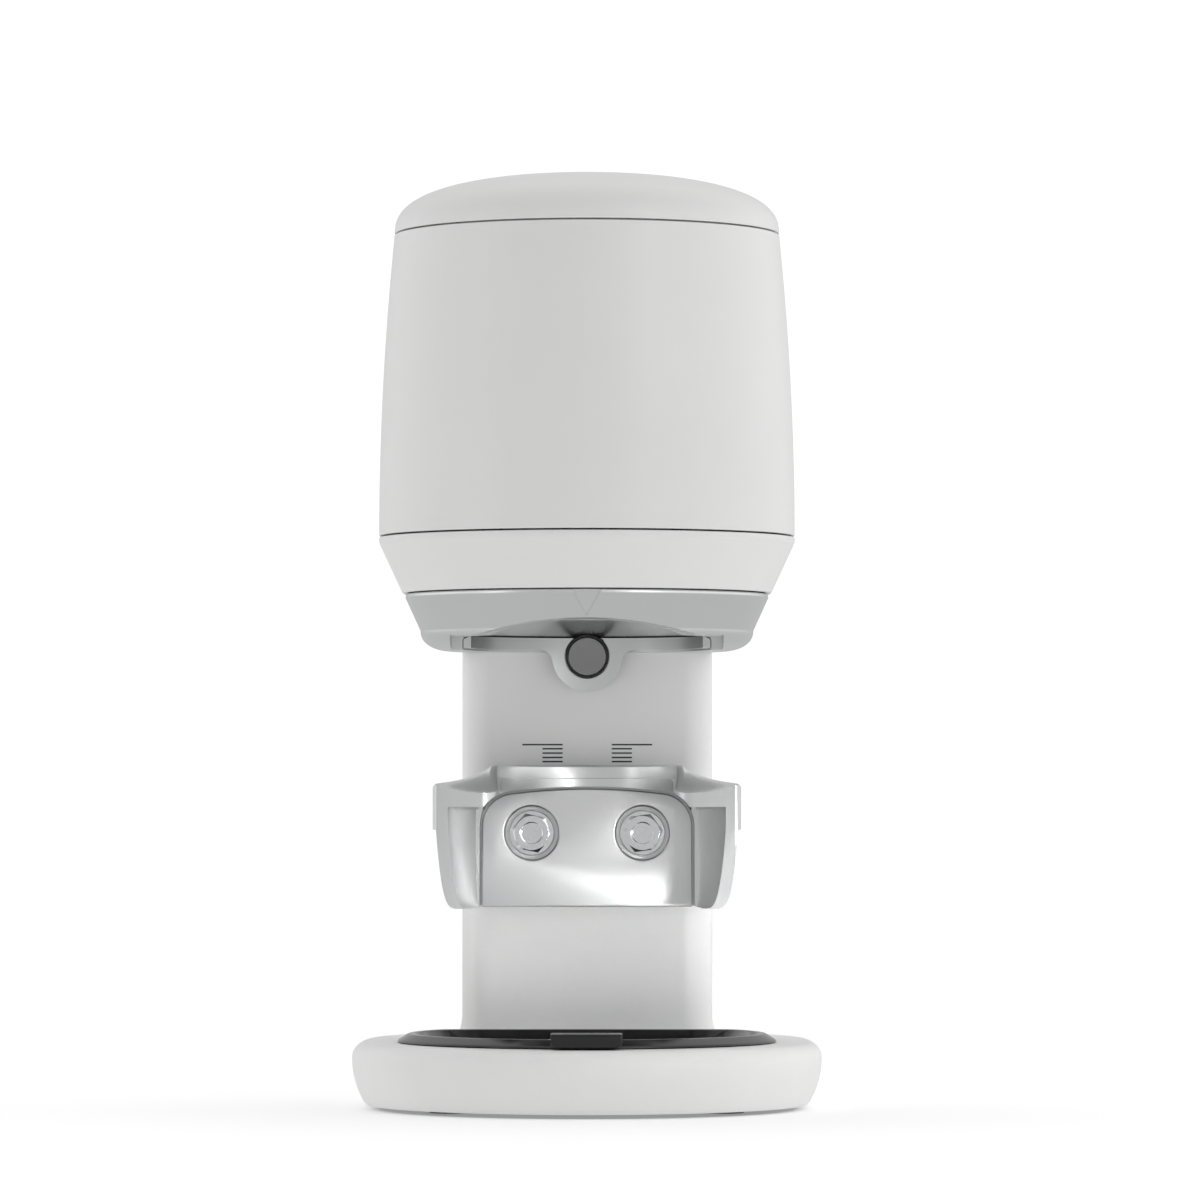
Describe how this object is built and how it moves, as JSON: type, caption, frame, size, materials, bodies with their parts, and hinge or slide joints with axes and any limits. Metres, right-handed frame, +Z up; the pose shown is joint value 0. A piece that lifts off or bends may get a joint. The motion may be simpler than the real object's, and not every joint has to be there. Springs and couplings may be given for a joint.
{
  "type": "automatic coffee tamper",
  "caption": "Bench-top automatic coffee tamper: round head on a post, portafilter fork clamped to the post, powered tamping disc, lift-out tray on a broad base.",
  "frame": {"origin": "on the bench, under the middle of the outline seen from above", "axes": "+Z up, front of the machine at -Y, +X to the right in a front view"},
  "size_m": [0.1684, 0.1844, 0.335],
  "materials": {
    "shell_paint": "smooth satin white paint",
    "body_paint": "smooth satin white powder coat",
    "silver_cast": "satin silver cast metal",
    "brushed_plate": "finely brushed",
    "zinc_steel": "bright plated steel",
    "dark_steel": "dark machined steel",
    "bronze": "bearing bronze",
    "tray_gloss": "gloss black moulding",
    "black_plastic": "fine textured black moulding",
    "button_grey": "satin grey moulding",
    "display": "dark gloss window",
    "board": "green circuit board",
    "rubber": "matt black rubber"
  },
  "bodies": {
    "stand": {"base_casting": "body_paint", "column_shell": "body_paint", "head_cover": "shell_paint", "skirt_ring": "shell_paint", "lower_housing": "silver_cast", "bay_bracket": "silver_cast", "button_bezel": "black_plastic", "column_rear_cover": "black_plastic", "power_inlet": "black_plastic", "switch_housing": "black_plastic", "control_deck": "black_plastic", "bottom_plate": "dark_steel", "column_spine": "dark_steel", "chassis_plate": "dark_steel", "upper_bearing_plate": "dark_steel", "drive_motor": "dark_steel", "plate_screw_1": "zinc_steel", "plate_screw_2": "zinc_steel", "plate_screw_3": "zinc_steel", "plate_screw_4": "zinc_steel", "guide_rod_left": "zinc_steel", "guide_rod_right": "zinc_steel", "screw_bearing": "zinc_steel", "deck_post_left": "zinc_steel", "deck_post_right": "zinc_steel", "plunger_bush": "bronze", "display_window": "display", "controller_board": "board", "foot_1": "rubber", "foot_2": "rubber", "foot_3": "rubber", "foot_4": "rubber"},
    "tamper": {"tamper_disc": "zinc_steel", "tamper_screw": "zinc_steel", "plunger_rod": "zinc_steel", "crosshead": "dark_steel", "disc_springs": "dark_steel", "drive_nut": "bronze"},
    "screw": {"leadscrew": "zinc_steel", "screw_gear": "bronze"},
    "pinion": {"motor_shaft": "zinc_steel", "drive_pinion": "dark_steel"},
    "holder": {"fork_casting": "silver_cast", "clamp_plate": "brushed_plate", "clamp_bolt_left": "zinc_steel", "clamp_bolt_right": "zinc_steel", "washer_left": "zinc_steel", "washer_right": "zinc_steel", "clamp_nut_left": "dark_steel", "clamp_nut_right": "dark_steel"},
    "start": {"start_button": "button_grey"},
    "lid": {"head_cap": "shell_paint"},
    "key_left": {"setting_key_left": "button_grey"},
    "key_right": {"setting_key_right": "button_grey"},
    "tray": {"tamping_tray": "tray_gloss"},
    "rocker": {"power_rocker": "black_plastic"}
  },
  "joints": [
    {"name": "tamper_press", "type": "slide", "parent": "stand", "child": "tamper", "axis": [0, 0, -1], "range_m": [0, 0.03]},
    {"name": "screw_turn", "type": "hinge", "parent": "stand", "child": "screw", "pos_m": [0, -0.008, 0.285], "axis": [0, 0, 1], "range_deg": [0, 1081]},
    {"name": "pinion_turn", "type": "hinge", "parent": "stand", "child": "pinion", "pos_m": [0, 0.02525, 0.285], "axis": [0, 0, 1], "range_deg": [-3243, 0]},
    {"name": "holder_height", "type": "slide", "parent": "stand", "child": "holder", "axis": [0, 0, 1], "range_m": [-0.004, 0.008]},
    {"name": "start_press", "type": "slide", "parent": "stand", "child": "start", "axis": [0, 1, 0], "range_m": [0, 0.002], "stiffness_N_per_m": 500},
    {"name": "lid_lift", "type": "slide", "parent": "stand", "child": "lid", "axis": [0, 0, 1], "range_m": [0, 0.06]},
    {"name": "key_left_press", "type": "slide", "parent": "stand", "child": "key_left", "axis": [0, 0, -1], "range_m": [0, 0.001], "stiffness_N_per_m": 500},
    {"name": "key_right_press", "type": "slide", "parent": "stand", "child": "key_right", "axis": [0, 0, -1], "range_m": [0, 0.001], "stiffness_N_per_m": 500},
    {"name": "tray_lift", "type": "slide", "parent": "stand", "child": "tray", "axis": [0, 0, 1], "range_m": [0, 0.035]},
    {"name": "rocker_tilt", "type": "hinge", "parent": "stand", "child": "rocker", "pos_m": [0, 0.0676, 0.084], "axis": [1, 0, 0], "range_deg": [0, 16]}
  ],
  "couplings": [
    {"joint": "screw_turn", "follows": "tamper_press", "rad_per_m": 628.32},
    {"joint": "pinion_turn", "follows": "tamper_press", "rad_per_m": -1885}
  ]
}
